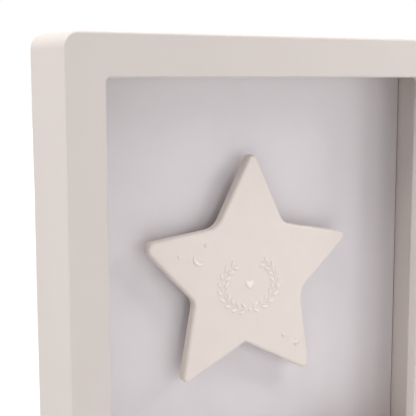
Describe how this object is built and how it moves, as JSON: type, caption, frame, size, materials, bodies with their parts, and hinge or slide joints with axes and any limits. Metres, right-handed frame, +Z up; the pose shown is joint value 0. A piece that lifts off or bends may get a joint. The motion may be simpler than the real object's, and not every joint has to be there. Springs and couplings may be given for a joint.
{
  "type": "framed plaque",
  "caption": "Free-standing deep box frame in painted board with a soft-edged cast star on a pale card behind a plain border, and a back panel held by turn buttons.",
  "frame": {"origin": "bottom centre of the whole part, on the surface that it stands on, midway in depth between the front face and the screw heads at the rear", "axes": "+Z up, +X to the right as seen from the front, the front faces -Y"},
  "size_m": [0.176, 0.0334, 0.186],
  "materials": {
    "painted_board": "sprayed paint, satin matt",
    "block_wood": "sawn, bare",
    "lilac_card": "uncoated",
    "foam_tape": "closed-cell foam",
    "cast_star": "unglazed, matt",
    "bare_board": "bare fibreboard",
    "plated_steel": "zinc plated"
  },
  "bodies": {
    "root": {"front_panel": "painted_board", "wall_left": "painted_board", "wall_right": "painted_board", "wall_top": "painted_board", "wall_bottom": "painted_board", "corner_block_top_left": "block_wood", "corner_block_top_right": "block_wood", "corner_block_bottom_left": "block_wood", "corner_block_bottom_right": "block_wood", "backing_card": "lilac_card", "star_pads": "foam_tape", "star": "cast_star", "back_panel": "bare_board", "turn_button_screws": "plated_steel", "hanger": "plated_steel", "hanger_rivets": "plated_steel"},
    "turn_button_left": {"turn_button_left": "plated_steel"},
    "turn_button_right": {"turn_button_right": "plated_steel"},
    "turn_button_top": {"turn_button_top": "plated_steel"},
    "turn_button_bottom": {"turn_button_bottom": "plated_steel"}
  },
  "joints": [
    {"name": "turn_button_left_turn", "type": "hinge", "parent": "root", "child": "turn_button_left", "pos_m": [-0.085, 0.01435, 0.093], "axis": [0, 1, 0], "range_deg": [-90, 90]},
    {"name": "turn_button_right_turn", "type": "hinge", "parent": "root", "child": "turn_button_right", "pos_m": [0.085, 0.01435, 0.093], "axis": [0, 1, 0], "range_deg": [-90, 90]},
    {"name": "turn_button_top_turn", "type": "hinge", "parent": "root", "child": "turn_button_top", "pos_m": [0, 0.01435, 0.183], "axis": [0, 1, 0], "range_deg": [-90, 90]},
    {"name": "turn_button_bottom_turn", "type": "hinge", "parent": "root", "child": "turn_button_bottom", "pos_m": [0, 0.01435, 0.003], "axis": [0, 1, 0], "range_deg": [-90, 90]}
  ]
}
